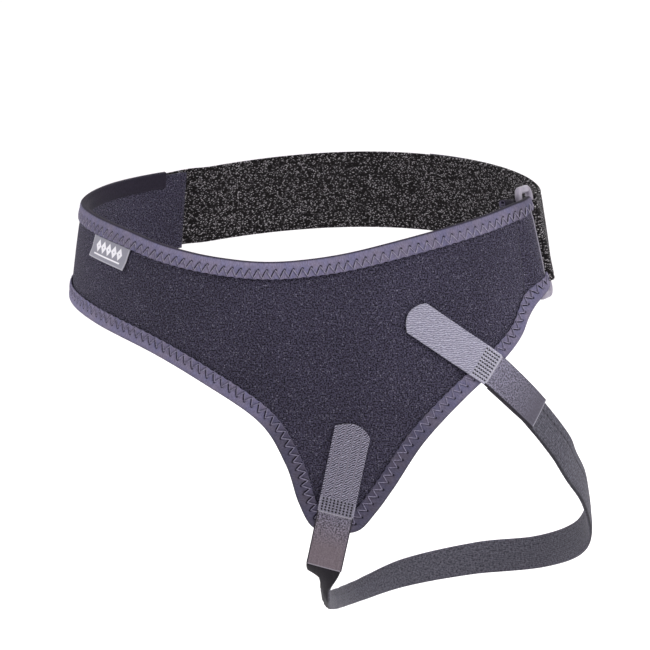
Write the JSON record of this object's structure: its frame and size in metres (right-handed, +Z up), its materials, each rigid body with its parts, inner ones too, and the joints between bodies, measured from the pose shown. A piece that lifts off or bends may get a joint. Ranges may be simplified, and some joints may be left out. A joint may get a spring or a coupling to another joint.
{
  "type": "hernia belt",
  "caption": "One-sided inguinal hernia belt in its worn form: bound neoprene panel, plush back strap through a side ring, and a padded thigh strap with hook tabs.",
  "frame": {"origin": "the mount waist: on the axis of the body that wears the belt, at the level of the belt's upper edge over the belly", "axes": "+Z up along the wearer's body, +X to the wearer's left, the wearer faces -Y"},
  "size_m": [0.3703, 0.2399, 0.3269],
  "materials": {
    "neoprene": "laminated neoprene with a knitted loop face, charcoal",
    "binding_tape": "soft knitted binding tape, slate",
    "woven_label": "woven satin label, grey",
    "ring_plastic": "moulded plastic, light grey",
    "plush_elastic": "brushed plush elastic, dark grey",
    "hook_tape": "woven back of hook tape, lilac grey",
    "cover_tape": "twill tape, mid grey",
    "padded_strap": "knitted cover over soft padding, dark grey"
  },
  "bodies": {
    "root": {"front_panel": "neoprene", "upper_binding": "binding_tape", "lower_binding": "binding_tape", "label": "woven_label", "side_ring": "ring_plastic", "back_strap": "plush_elastic", "closure_tab": "hook_tape", "hip_tab": "hook_tape", "hip_tab_cover": "cover_tape", "groin_tab": "hook_tape", "groin_tab_cover": "cover_tape", "thigh_strap": "padded_strap"}
  },
  "joints": []
}
